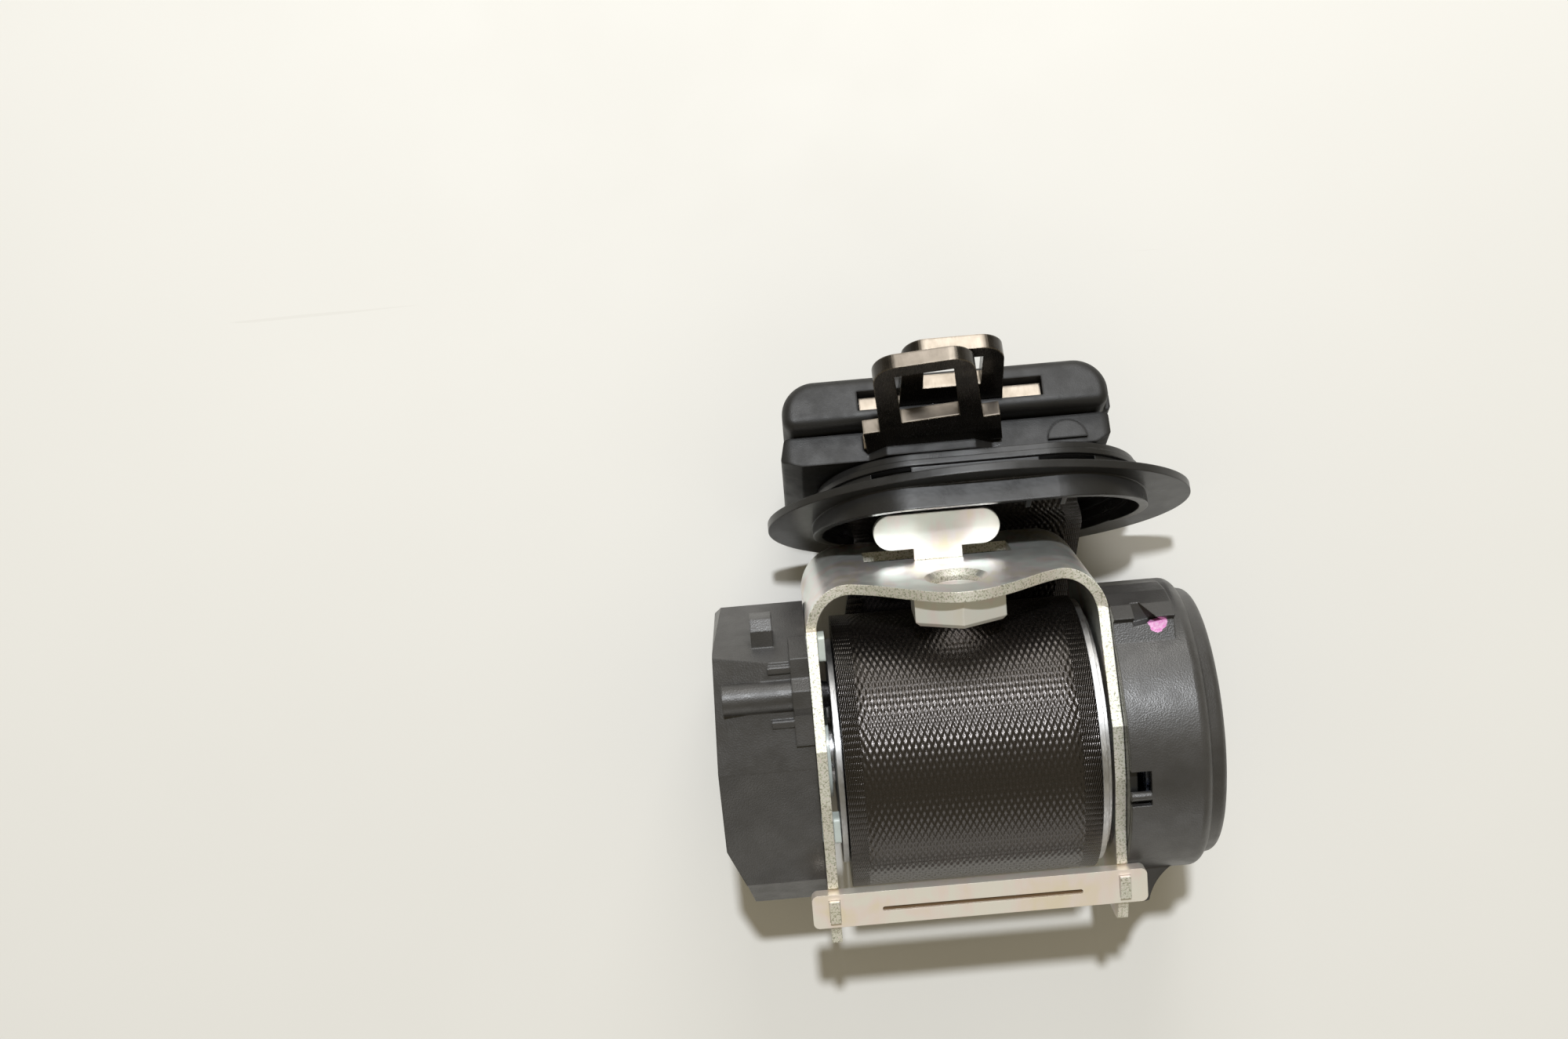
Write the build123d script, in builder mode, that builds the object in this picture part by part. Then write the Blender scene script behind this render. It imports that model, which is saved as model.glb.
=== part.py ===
from build123d import *
import os
from math import acos, atan2, cos, pi, radians, sin, sqrt

os.makedirs("parts", exist_ok=True)

# Place of the retractor: the point of the spool axis midway between the frame legs
spool_x = -1.7
spool_y = -20.5
lean = 12.0  # how far the retractor leans towards the front, about the spool axis

# Webbing
web_width = 47.0
web_thickness = 1.1
roll_radius = 27.2
web_edge_gap = 0.3  # each side of the wound webbing, up to the spool flanges
web_side_gap = 0.7  # each side of the webbing in the slots it runs through

# Frame: one strip of sheet steel bent to a U
sheet = 2.0
bend_radius = 9.0
plate_below = 22.5  # spool axis to the lower edge of the sheet
lobe_reach = 24.0  # spool axis to the top of the lobe round the bolt hole
shoulder_reach = 11.5  # spool axis to the edge of the plate beside the bends
bolt_x = 0.5
bolt_height = 12.0
bolt_radius = 4.95
countersink_radius = 6.0
lug_base = -3.0
lug_stem = 9.5
lug_stem_length = 2.4
lug_head_width = 24.7
lug_head_length = 7.0
lug_window_width = 29.0
lug_x = -1.3

# Weld nut
nut_across = 17.0
nut_length = 5.8
nut_gap = 1.0  # full roll of webbing to the nut

# Tie bar across the leg ends
bar_overhang = 3.25  # outer face of each leg to the end of the bar
bar_width = 6.6
bar_thickness = 2.8
bar_front = -27.8
bar_top = 21.9
tenon_width = 4.4
tenon_proud = 0.8
leg_tip = -33.4
leg_top = 22.8  # spool axis to the upper edge of the legs, in the plate's direction

# Spool
hub_radius = 9.0
flange_left_radius = 22.0
flange_right_radius = 25.6
flange_thickness = 1.1
flange_gap = 1.6  # spool flange to the inner face of the leg
torsion_radius = 4.0
shaft_radius = 6.4
bush_wall = 1.5
running_gap = 0.05
seat_gap = 0.1

# Locking side, outside the left leg
plate_gap = 0.1
carrier_thickness = 1.6
wheel_gap = 0.4
disc_gap = 0.6
hook_width = 5.0
hook_places = ((24.0, 9.0), (-10.0, 15.5))
ratchet_teeth = 12
ratchet_radius = 15.0
ratchet_root = 12.2
ratchet_thickness = 2.8
pawl_pivot_n = 15.5
pawl_pivot_a = 13.0
pawl_pin_radius = 2.0
disc_teeth = 36
disc_radius = 14.6
disc_root = 13.4
disc_thickness = 3.0
ball_radius = 3.0
ball_travel = 0.8
ball_shift = 3.9  # middle of the toothed disc to the middle of the ball, outwards
cup_margin = 1.2
ball_a = -20.2
lever_pivot_n = 9.0
lever_pin_radius = 1.0

# Covers
cover_wall = 1.6
sensor_gap = 0.5  # sensor cup to the inside of the lock cover
drum_radius = 28.2
rim_step = 2.0  # drum to its outer step, in radius
rim_depth = 3.0
rim_shoulder = 2.6
barrel_radius = 3.0
barrel_n = 18.2  # spool axis to the half-round barrel on the lock cover, backwards
ridge_proud = 0.7
strip_width = 3.4  # raised strip of the lock cover, next to the leg
lug_width = 4.1
block_width = 11.4  # block on the drum, outwards from the leg
clip_window = 3.7  # width of the clip's window in the drum
wing_sheet = 1.6
wing_width = 10.3

# Clock spring
arbor_radius = 5.0
spring_strip = 0.3
spring_height = 9.0
spring_gap = 0.6  # outer edge of the strip to the step inside the drum
spring_seat = 3.2  # open end of the drum to the inner edge of the strip
spring_pitch = 1.3

# Bezel
bezel_x = 8.2
bezel_shift = 7.8  # outer face of the back plate to the middle of the flange, backwards
bezel_lean = 19.0
flange_border = 8.85  # end of the collar to the end of the flange
flange_rim = 5.0  # top of the collar to the top of the flange
flange_sheet = 1.6
collar_step = 1.4  # end of the neck to the end of the collar
collar_rise = 0.3  # top of the neck to the top of the collar
collar_wall = 1.8
collar_top_reach = 4.6
collar_low_reach = 0.2
neck_depth = 5.0
neck_border = 7.8  # end of the slot to the end of the neck
neck_height = 39.0
snap_proud = 0.8
liner_wall = 1.6
liner_reach = 2.6  # flange to the liner's front edge, towards the retractor
slot_height = 6.0
slot_x = 4.8
slot_drop = 3.7698  # middle of the flange down to the middle of the webbing

# Tongues
grip_border = 7.3  # end of the slot to the end of the grip
grip_x = 2.1
front_grip_depth = 5.9
rear_grip_depth = 9.7
grip_gap = 0.35
grip_low = -15.5
front_grip_top = 17.0
rear_grip_top = 21.6
tongue_sheet = 3.0
blade_root_width = 20.0
blade_tip_width = 18.6
front_blade_length = 25.0
rear_blade_length = 19.0
blade_corner = 4.5
window_width = 11.0
front_window_length = 15.5
rear_window_length = 9.5
window_up = 6.5
front_shoulder_width = 26.0
front_shoulder_up = 4.6
rear_root_width = 35.0
front_root_width = 26.5
front_tilt = 6.0
front_blade_lean = 11.0
rear_blade_lean = 9.0
front_blade_x = -0.9
pocket_depth = 3.9
grip_end_radius = 3.6
grip_edge_radius = 2.0
pad_x = 25.1  # mid-plane of the frame to the D-shaped pad
pad_radius = 3.8
pad_proud = 0.8
ear_proud = 0.9
rear_blade_x = 3.1

web_edge = web_width / 2 + web_edge_gap
flange_out = web_edge + flange_thickness
inner = flange_out + flange_gap
half = inner + sheet
frame_width = 2 * half
bar_length = frame_width + 2 * bar_overhang
plate_reach = roll_radius + nut_gap + nut_length + sheet  # spool axis to the back plate
slot_length = web_width + 2 * web_side_gap
neck_length = slot_length + 2 * neck_border
collar_length = neck_length + 2 * collar_step
flange_length = collar_length + 2 * flange_border
collar_height = neck_height + 2 * collar_rise
flange_height = collar_height + 2 * flange_rim
bezel_y = plate_reach + bezel_shift
grip_length = slot_length + 2 * grip_border
spool_z = drum_radius
cl, sl = cos(radians(lean)), sin(radians(lean))
outward = Vector(0, cl, sl)  # from the spool axis towards the back plate
upward = Vector(0, -sl, cl)
axis_point = Vector(spool_x, spool_y, spool_z)


def side(x):
    """Plane across the spool axis at x; its own axes are outward and upward."""
    return Plane(origin=axis_point + Vector(x, 0, 0), x_dir=outward, z_dir=(1, 0, 0))


def deck(a):
    """Plane square to the legs at height a; its own axes are X and outward."""
    return Plane(origin=axis_point + upward * a, x_dir=(1, 0, 0), z_dir=upward)


def wall(n):
    """Plane parallel to the back plate, facing into the U; its axes are X and upward."""
    return Plane(origin=axis_point + outward * n, x_dir=(1, 0, 0), z_dir=-outward)


cb, sb = cos(radians(bezel_lean)), sin(radians(bezel_lean))
front_of_bezel = Vector(0, -cb, sb)
up_bezel = Vector(0, sb, cb)
bezel_point = Vector(
    spool_x + bezel_x, spool_y + bezel_y, flange_height / 2 * cb + flange_sheet * sb
)
slot_z = bezel_point.Z - slot_drop


def trim(d):
    """Plane parallel to the bezel flange, d in front of its front face; axes X and up."""
    return Plane(
        origin=bezel_point + front_of_bezel * d, x_dir=(1, 0, 0), z_dir=front_of_bezel
    )


def level(t):
    """Plane square to the bezel's up direction; its own axes are X and backwards."""
    return Plane(origin=bezel_point + up_bezel * t, x_dir=(1, 0, 0), z_dir=up_bezel)


# Frame
bar_back = bar_front + bar_width
bar_low = bar_top - bar_thickness
with BuildPart() as frame:
    with BuildSketch(deck(-plate_below)):
        with BuildLine():
            FilletPolyline(
                (half, leg_tip), (half, plate_reach), (-half, plate_reach), (-half, leg_tip),
                radius=bend_radius,
            )
            Line((-half, leg_tip), (half, leg_tip))
        make_face()
        with BuildLine():
            FilletPolyline(
                (inner, leg_tip),
                (inner, plate_reach - sheet),
                (-inner, plate_reach - sheet),
                (-inner, leg_tip),
                radius=bend_radius - sheet,
            )
            Line((-inner, leg_tip), (inner, leg_tip))
        make_face(mode=Mode.SUBTRACT)
    extrude(amount=plate_below + lobe_reach + 2)
    # Edge profile of the legs, seen along the spool axis
    with BuildSketch(side(-half - 1)):
        with BuildLine():
            Polyline(
                (plate_reach + 1, -plate_below),
                (plate_reach + 1, lobe_reach),
                (plate_reach - bend_radius + 1, lobe_reach),
                (plate_reach - bend_radius + 1, 13.5),
                (9.5, leg_top - 1.2),
                (7.5, leg_top),
                (-3, leg_top),
                (-14, bar_low + 0.9),
                (bar_back + 0.4, bar_low + 0.7),
                (bar_back + 0.2, bar_low),
                (bar_front - 1.5, bar_low),
                (leg_tip + 0.6, bar_low - 1.6),
                (leg_tip, bar_low - 3.5),
                (leg_tip, 7.0),
                (leg_tip + 0.7, 5.0),
                (-26.5, -11.0),
                (-25, -12.8),
                (-14, -plate_below),
                close=True,
            )
        make_face()
    extrude(amount=frame_width + 2, mode=Mode.INTERSECT)
    # Tenons that pass through the tie bar
    bar_mid = (bar_front + bar_back) / 2
    for x in (-half, inner):
        with BuildSketch(side(x)):
            with Locations((bar_mid, bar_low)):
                Rectangle(
                    tenon_width,
                    bar_thickness + tenon_proud,
                    align=(Align.CENTER, Align.MIN),
                )
        extrude(amount=sheet)
    # Waved edge of the back plate: a lobe round the bolt hole, low shoulders beside it
    with BuildSketch(wall(plate_reach + 1)):
        with BuildLine():
            Spline(
                (-half - 1, shoulder_reach + 1.5),
                (-19, shoulder_reach),
                (bolt_x - 11, lobe_reach - 6.5),
                (bolt_x, lobe_reach),
                (bolt_x + 11, lobe_reach - 5.0),
                (19.5, shoulder_reach + 1.5),
                (half + 1, shoulder_reach + 3.0),
            )
            Polyline(
                (half + 1, shoulder_reach + 3.0),
                (half + 1, lobe_reach + 4),
                (-half - 1, lobe_reach + 4),
                (-half - 1, shoulder_reach + 1.5),
            )
        make_face()
    extrude(amount=bend_radius, mode=Mode.SUBTRACT)
    # Bolt hole with its countersink
    with BuildSketch(wall(plate_reach)):
        with Locations((bolt_x, bolt_height)):
            Circle(bolt_radius)
    extrude(amount=sheet, mode=Mode.SUBTRACT)
    with BuildSketch(wall(plate_reach)):
        with Locations((bolt_x, bolt_height)):
            Circle(countersink_radius)
    extrude(amount=countersink_radius - bolt_radius, taper=45, mode=Mode.SUBTRACT)
    # Opening that the lug was cut from, and the lug bent outwards at its upper edge
    with BuildSketch(wall(plate_reach)):
        with Locations((lug_x, lug_base - sheet)):
            Rectangle(
                lug_window_width,
                lug_head_length + 1.6,
                align=(Align.CENTER, Align.MAX),
            )
    extrude(amount=sheet, mode=Mode.SUBTRACT)
    with BuildSketch(deck(lug_base - sheet)):
        with Locations((lug_x, plate_reach - sheet)):
            Rectangle(
                lug_stem, sheet + lug_stem_length + 1, align=(Align.CENTER, Align.MIN)
            )
        with Locations((lug_x, plate_reach + lug_stem_length + lug_head_length / 2)):
            SlotOverall(lug_head_width, lug_head_length)
    extrude(amount=sheet)
    # Bores in the legs for the spool bushes, and the pawl pin's hole on the left
    with BuildSketch(side(-half - 1)):
        Circle(shaft_radius + bush_wall)
        with Locations((pawl_pivot_n, pawl_pivot_a)):
            Circle(pawl_pin_radius)
        with Locations(*hook_places):
            RectangleRounded(
                hook_width + 2 * seat_gap, hook_width - 1.6 + 2 * seat_gap, 0.7
            )
    extrude(amount=sheet + 2, mode=Mode.SUBTRACT)
    with BuildSketch(side(inner - 1)):
        Circle(arbor_radius + bush_wall)
    extrude(amount=sheet + 2, mode=Mode.SUBTRACT)
frame.part.label = "frame"
export_step(frame.part, "parts/frame.step")

# Tie bar, staked on the tenons
with BuildPart() as tie_bar:
    with BuildSketch(deck(bar_low)):
        with Locations((0, bar_mid)):
            RectangleRounded(bar_length, bar_width, 1.2)
        with Locations((-half + sheet / 2, bar_mid), (half - sheet / 2, bar_mid)):
            Rectangle(
                sheet + 2 * running_gap, tenon_width + 2 * running_gap, mode=Mode.SUBTRACT
            )
    extrude(amount=bar_thickness)
    # Stiffening groove pressed along the middle of the top face
    with BuildSketch(deck(bar_top)):
        with Locations((0.5, bar_mid - 0.3)):
            SlotOverall(38, 0.9)
    extrude(amount=-0.5, mode=Mode.SUBTRACT)
tie_bar.part.label = "tie_bar"
export_step(tie_bar.part, "parts/tie_bar.step")

# Weld nut behind the bolt hole
with BuildPart() as weld_nut:
    with BuildSketch(wall(plate_reach - sheet)):
        with Locations((bolt_x, bolt_height)):
            RegularPolygon(nut_across / 2, 6, major_radius=False, rotation=30)
            Circle(bolt_radius, mode=Mode.SUBTRACT)
    extrude(amount=nut_length)
    chamfer(
        weld_nut.faces().sort_by(Axis(axis_point, -outward))[-1].outer_wire().edges(), 0.8
    )
weld_nut.part.label = "weld_nut"
export_step(weld_nut.part, "parts/weld_nut.step")

# Spool: hub with a flange at each end of the webbing
with BuildPart() as spool_core:
    with BuildSketch(side(-flange_out)):
        Circle(flange_left_radius)
    extrude(amount=flange_thickness)
    with BuildSketch(side(-flange_out)):
        Circle(hub_radius)
    extrude(amount=2 * flange_out)
    with BuildSketch(side(web_edge)):
        Circle(flange_right_radius)
    extrude(amount=flange_thickness)
    with BuildSketch(side(flange_out)):
        Circle(flange_right_radius - 2.0)
        Circle(flange_right_radius - 6.0, mode=Mode.SUBTRACT)
    extrude(amount=inner - flange_out - 0.7)
    with BuildSketch(side(-flange_out)):
        Circle(torsion_radius + seat_gap)
    extrude(amount=2 * flange_out, mode=Mode.SUBTRACT)
spool_core.part.label = "spool_core"
export_step(spool_core.part, "parts/spool_core.step")

# Webbing wound on the hub
with BuildPart() as webbing_roll:
    with BuildSketch(side(-web_width / 2)):
        Circle(roll_radius)
        Circle(hub_radius + seat_gap, mode=Mode.SUBTRACT)
    extrude(amount=web_width)
webbing_roll.part.label = "webbing_roll"
export_step(webbing_roll.part, "parts/webbing_roll.step")

# Locking side: places along the spool axis, counted from the left leg outwards
carrier_in = -half - plate_gap
carrier_out = carrier_in - carrier_thickness
ratchet_in = carrier_out - wheel_gap
ratchet_out = ratchet_in - ratchet_thickness
disc_in = ratchet_out - disc_gap
disc_out = disc_in - disc_thickness
ball_x = (disc_in + disc_out) / 2 - ball_shift
cup_radius = ball_radius + ball_travel + 0.5
lock_reach = -ball_x + cup_radius + cup_margin + sensor_gap + cover_wall

# Torsion bar through the spool, splined into the ratchet wheel and the hub
with BuildPart() as torsion_bar:
    with BuildSketch(side(ratchet_out)):
        Circle(torsion_radius)
    extrude(amount=flange_out - ratchet_out)
torsion_bar.part.label = "torsion_bar"
export_step(torsion_bar.part, "parts/torsion_bar.step")


def toothed(count, tip, root, slope):
    """Closed outline of a wheel with sawtooth teeth leaning one way."""
    points = []
    step = 2 * pi / count
    for i in range(count):
        turn = i * step
        points.append((tip * cos(turn), tip * sin(turn)))
        points.append((root * cos(turn + slope * step), root * sin(turn + slope * step)))
        last = turn + 0.88 * step
        points.append((root * cos(last) * 1.02, root * sin(last) * 1.02))
    return points


# Ratchet wheel with its boss through the left leg
with BuildPart() as ratchet_wheel:
    with BuildSketch(side(ratchet_out)):
        with BuildLine():
            Polyline(*toothed(ratchet_teeth, ratchet_radius, ratchet_root, 0.12), close=True)
        make_face()
    extrude(amount=ratchet_thickness)
    with BuildSketch(side(ratchet_in)):
        Circle(shaft_radius)
    extrude(amount=-flange_out - seat_gap - ratchet_in)
    with BuildSketch(side(ratchet_out)):
        Circle(torsion_radius + seat_gap)
    extrude(amount=half * 2, mode=Mode.SUBTRACT)
ratchet_wheel.part.label = "ratchet_wheel"
export_step(ratchet_wheel.part, "parts/ratchet_wheel.step")

# Plastic bushes in the legs
with BuildPart() as left_bush:
    with BuildSketch(side(-half)):
        Circle(shaft_radius + bush_wall - 0.05)
        Circle(shaft_radius + running_gap, mode=Mode.SUBTRACT)
    extrude(amount=sheet)
    with BuildSketch(side(-inner)):
        Circle(shaft_radius + bush_wall + 1.2)
        Circle(shaft_radius + running_gap, mode=Mode.SUBTRACT)
    extrude(amount=0.8)
left_bush.part.label = "left_bush"
export_step(left_bush.part, "parts/left_bush.step")

with BuildPart() as right_bush:
    with BuildSketch(side(inner)):
        Circle(arbor_radius + bush_wall - 0.05)
        Circle(arbor_radius + running_gap, mode=Mode.SUBTRACT)
    extrude(amount=sheet)
right_bush.part.label = "right_bush"
export_step(right_bush.part, "parts/right_bush.step")

# Pale plastic carrier plate on the left leg, with two hooks through the leg
with BuildPart() as lock_carrier:
    with BuildSketch(side(carrier_out)):
        with BuildLine():
            FilletPolyline(
                (26, -4), (25, 12), (17, 19), (4, 20), (-17, 13), (-22, 5), (-18, -14),
                (0, -20), (18, -16), close=True, radius=3,
            )
        make_face()
        Circle(shaft_radius + bush_wall + 0.5, mode=Mode.SUBTRACT)
        with Locations((pawl_pivot_n, pawl_pivot_a)):
            Circle(pawl_pin_radius + seat_gap, mode=Mode.SUBTRACT)
    extrude(amount=carrier_thickness)
    with BuildSketch(side(carrier_in)):
        with Locations(*hook_places):
            RectangleRounded(hook_width, hook_width - 1.6, 0.6)
    extrude(amount=sheet + plate_gap + 1.4)
    with BuildSketch(side(-inner + 0.15)):
        with Locations(*[(n, a + 0.6) for n, a in hook_places]):
            RectangleRounded(hook_width, hook_width - 0.4, 0.6)
    extrude(amount=1.25)
lock_carrier.part.label = "lock_carrier"
export_step(lock_carrier.part, "parts/lock_carrier.step")

# Pin that the pawl turns on, headed inside the leg
with BuildPart() as pawl_pin:
    with BuildSketch(side(ratchet_out)):
        with Locations((pawl_pivot_n, pawl_pivot_a)):
            Circle(pawl_pin_radius - 0.02)
    extrude(amount=-inner - ratchet_out)
    with BuildSketch(side(-inner)):
        with Locations((pawl_pivot_n, pawl_pivot_a)):
            Circle(2.7)
    extrude(amount=1.5, taper=12)
    with BuildSketch(side(ratchet_out)):
        with Locations((pawl_pivot_n, pawl_pivot_a)):
            Circle(pawl_pin_radius + 0.9)
    extrude(amount=-0.7)
pawl_pin.part.label = "pawl_pin"
export_step(pawl_pin.part, "parts/pawl_pin.step")

# Locking pawl: a hooked lever in the plane of the ratchet wheel
with BuildPart() as lock_pawl:
    with BuildSketch(side(ratchet_out)):
        with BuildLine():
            tip_n, tip_a = 2.2, ratchet_radius + 0.9
            Polyline(
                (pawl_pivot_n + 3.2, pawl_pivot_a + 0.6),
                (pawl_pivot_n + 0.6, pawl_pivot_a + 3.4),
                (8.5, 18.8),
                (tip_n, tip_a + 2.2),
                (tip_n, tip_a),
                (6.5, 15.8),
                (pawl_pivot_n - 3.4, pawl_pivot_a - 0.6),
                (pawl_pivot_n - 0.5, pawl_pivot_a - 3.4),
                close=True,
            )
        make_face()
        with Locations((pawl_pivot_n, pawl_pivot_a)):
            Circle(pawl_pin_radius + running_gap, mode=Mode.SUBTRACT)
    extrude(amount=ratchet_thickness)
lock_pawl.part.label = "lock_pawl"
export_step(lock_pawl.part, "parts/lock_pawl.step")

# Toothed disc on the end of the spool, caught by the sensor lever
with BuildPart() as lock_disc:
    with BuildSketch(side(disc_out)):
        with BuildLine():
            Polyline(*toothed(disc_teeth, disc_radius, disc_root, 0.15), close=True)
        make_face()
    extrude(amount=disc_thickness)
    with BuildSketch(side(disc_in)):
        Circle(torsion_radius + 2)
    extrude(amount=ratchet_out - disc_in)
    with BuildSketch(side(disc_out)):
        Circle(disc_root - 2.2)
        Circle(6.0, mode=Mode.SUBTRACT)
    extrude(amount=1.2, mode=Mode.SUBTRACT)
lock_disc.part.label = "lock_disc"
export_step(lock_disc.part, "parts/lock_disc.step")

# Sensor: a steel ball in a cup under the disc, and a lever that rests on it
cup_floor = ball_a - ball_radius - 0.05
with BuildPart() as sensor_cup:
    with BuildSketch(deck(cup_floor - 1.2)):
        with Locations((ball_x, 1.0)):
            RectangleRounded(2 * (cup_radius + cup_margin), 22.5, 2.5)
    extrude(amount=1.2)
    with BuildSketch(deck(cup_floor)):
        with Locations((ball_x, 0)):
            Circle(cup_radius + 1.0)
            Circle(cup_radius, mode=Mode.SUBTRACT)
    extrude(amount=2.6)
    # Ears that carry the lever's pin
    ear_width = 1.2
    lever_pivot_a = ball_a + ball_radius + 1.3
    for x in (ball_x - cup_radius - 1.0, ball_x + cup_radius - 0.2):
        with BuildSketch(side(x)):
            with BuildLine():
                Polyline(
                    (lever_pivot_n - 2.4, cup_floor),
                    (lever_pivot_n - 1.9, lever_pivot_a + 1.0),
                    (lever_pivot_n - 1.0, lever_pivot_a + 1.9),
                    (lever_pivot_n + 1.0, lever_pivot_a + 1.9),
                    (lever_pivot_n + 1.9, lever_pivot_a + 1.0),
                    (lever_pivot_n + 2.4, cup_floor),
                    close=True,
                )
            make_face()
            with Locations((lever_pivot_n, lever_pivot_a)):
                Circle(lever_pin_radius + running_gap, mode=Mode.SUBTRACT)
        extrude(amount=ear_width)
sensor_cup.part.label = "sensor_cup"
export_step(sensor_cup.part, "parts/sensor_cup.step")

with BuildPart() as sensor_ball:
    with BuildSketch(side(ball_x)):
        with BuildLine():
            Line((-ball_radius, ball_a), (ball_radius, ball_a))
            CenterArc((0, ball_a), ball_radius, 0, 180)
        make_face()
    revolve(axis=Axis(axis_point + upward * ball_a + Vector(ball_x, 0, 0), outward))
sensor_ball.part.label = "sensor_ball"
export_step(sensor_ball.part, "parts/sensor_ball.step")

# Lever: pin, flat pad over the ball, and a finger that rises into the disc's teeth
pad_low = ball_a + ball_radius + 0.25
disc_mid = (disc_in + disc_out) / 2
pad_half = cup_radius - 0.9
with BuildPart() as sensor_lever:
    with BuildSketch(side(ball_x - cup_radius - 1.0)):
        with Locations((lever_pivot_n, lever_pivot_a)):
            Circle(lever_pin_radius)
    extrude(amount=2 * cup_radius + 2.0)
    with BuildSketch(deck(pad_low)):
        with Locations((ball_x, (lever_pivot_n - 5.0) / 2)):
            Rectangle(2 * pad_half, lever_pivot_n + 5.0)
        with Locations(((ball_x + disc_mid) / 2 + 1.0, -4.0)):
            Rectangle(disc_mid - ball_x + 2.0, 2.4)
    extrude(amount=1.2)
    with BuildSketch(side(disc_mid - 1.0)):
        with BuildLine():
            Polyline(
                (-5.2, pad_low), (-2.8, pad_low), (-3.2, -disc_radius - 1.0),
                (-3.9, -disc_radius - 0.45), (-4.3, -disc_radius - 0.9), close=True,
            )
        make_face()
    extrude(amount=2.0)
sensor_lever.part.label = "sensor_lever"
export_step(sensor_lever.part, "parts/sensor_lever.step")

# Left cover: a faceted shell over the locking side, open towards the leg
cover_in = carrier_in
roof_back = (24.6, 19.8)  # ends of the roof facet, backwards and upwards from the spool axis
roof_front = (4.3, 22.5)
roof_slope = (roof_back[1] - roof_front[1]) / (roof_back[0] - roof_front[0])


def roof_height(n):
    """Height of the roof facet above the spool axis, at n backwards."""
    return roof_front[1] + roof_slope * (n - roof_front[0])


with BuildPart() as lock_cover:
    with BuildSketch(side(cover_in)):
        with BuildLine():
            Polyline(
                (30, -3), (26.6, 12.8), roof_back, roof_front, (-20.5, 15.4),
                (-27.2, 7.8), (-28.4, -6), (-22, -19.5), (-13.4, -25.96), (12, -27.5),
                (24, -20), close=True,
            )
        make_face()
    extrude(amount=-(lock_reach + cover_in))
    # Outline seen from above: the outer face slopes in at the back and at the front
    with BuildSketch(deck(2 * drum_radius)):
        with BuildLine():
            FilletPolyline(
                (cover_in + 1, 31), (2.9 - lock_reach, 31), (0.7 - lock_reach, 26),
                (-lock_reach, 5), (-lock_reach, -12.5), (3.3 - lock_reach, -21),
                (4.6 - lock_reach, -29), (cover_in + 1, -29), radius=1.2, close=True,
            )
        make_face()
    extrude(amount=-4 * drum_radius, mode=Mode.INTERSECT)
    # The roof's outer corner at the back is cut off on a slant
    corner = Plane(
        (axis_point + Vector(0.7 - lock_reach, 0, 0) + outward * 26 + upward * 16.5),
        x_dir=(1, 0, 0),
        z_dir=(Vector(10.5, 0, 0) + upward * 3.3 - outward * 1.4).cross(
            Vector(0.6, 0, 0) + outward * 21.7 - upward * 6.0
        ),
    )
    split(bisect_by=corner, keep=Keep.TOP if corner.z_dir.Z < 0 else Keep.BOTTOM)
    offset(
        amount=-cover_wall, openings=lock_cover.faces().sort_by(Axis.X)[-1]
    )
    # Raised strip along the leg, two short ridges and the half-round barrel between them
    with BuildSketch(side(cover_in)):
        with BuildLine():
            Polyline(
                (26.0, 12.6), (27.4, 12.9), (25.3, 20.7), (21.5, roof_height(21.5) + 0.8),
                (19.8, 23.4), (16.6, 23.6), (14.6, roof_height(14.6) + 0.8),
                (9, roof_height(9) + 0.8), (9, roof_height(9) - 1), (23.6, 18.8),
                close=True,
            )
        make_face()
    extrude(amount=-strip_width)
    for ridge_n in (23.2, 13.2):
        with BuildSketch(side(cover_in - strip_width)):
            with Locations((ridge_n, roof_height(ridge_n) + ridge_proud / 2 - 0.4)):
                RectangleRounded(1.5, ridge_proud + 0.8, 0.35)
        extrude(amount=-4.2)
    barrel_a = roof_height(barrel_n) - 0.7
    with BuildSketch(side(cover_in - strip_width)):
        with BuildLine():
            CenterArc((barrel_n, barrel_a), barrel_radius, 0, 180)
            Line((barrel_n - barrel_radius, barrel_a), (barrel_n + barrel_radius, barrel_a))
        make_face()
    extrude(amount=-13.0)
    # Square lug on the back face
    with BuildSketch(side(-36.8 - lug_width / 2)):
        with BuildLine():
            Polyline(
                (26.6, 8.4), (31.4, 8.4), (31.4, 13.2), (29.4, 14.6), (26.0, 14.6), close=True
            )
        make_face()
    extrude(amount=lug_width)
lock_cover.part.label = "lock_cover"
export_step(lock_cover.part, "parts/lock_cover.step")

# Spring side, outside the right leg
right_in = half + plate_gap
spring_reach = (
    right_in + spring_seat + spring_height + spring_gap + rim_shoulder + rim_depth
)
arbor_in = flange_out + seat_gap
spring_in = right_in + spring_seat
with BuildPart() as spring_arbor:
    with BuildSketch(side(arbor_in)):
        Circle(arbor_radius)
    extrude(amount=spring_reach - cover_wall - 1.2 - arbor_in)
    with BuildSketch(side(spring_in - 0.8)):
        Circle(arbor_radius + 0.8)
    extrude(amount=0.6)
    # Slot that takes the inner end of the clock spring
    with BuildSketch(side(spring_in - 0.2)):
        with Locations((arbor_radius - 1.2, 0)):
            Rectangle(3.0, 1.0)
    extrude(amount=spring_height + 0.4, mode=Mode.SUBTRACT)
spring_arbor.part.label = "spring_arbor"
export_step(spring_arbor.part, "parts/spring_arbor.step")

with BuildPart() as spring_plate:
    with BuildSketch(side(right_in)):
        Circle(drum_radius - cover_wall - 0.3)
        Circle(arbor_radius + 0.6, mode=Mode.SUBTRACT)
    extrude(amount=1.4)
spring_plate.part.label = "spring_plate"
export_step(spring_plate.part, "parts/spring_plate.step")


def coil_line(r0, pitch, halves, shift):
    """Half circles, each larger than the last, that wind outwards by pitch a turn."""
    for i in range(halves):
        side_shift = pitch / 4 if i % 2 else -pitch / 4
        radius = r0 + pitch * (i + 0.5) / 2 + shift
        CenterArc((side_shift, 0), radius, 180 * (i % 2), 180)


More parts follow.
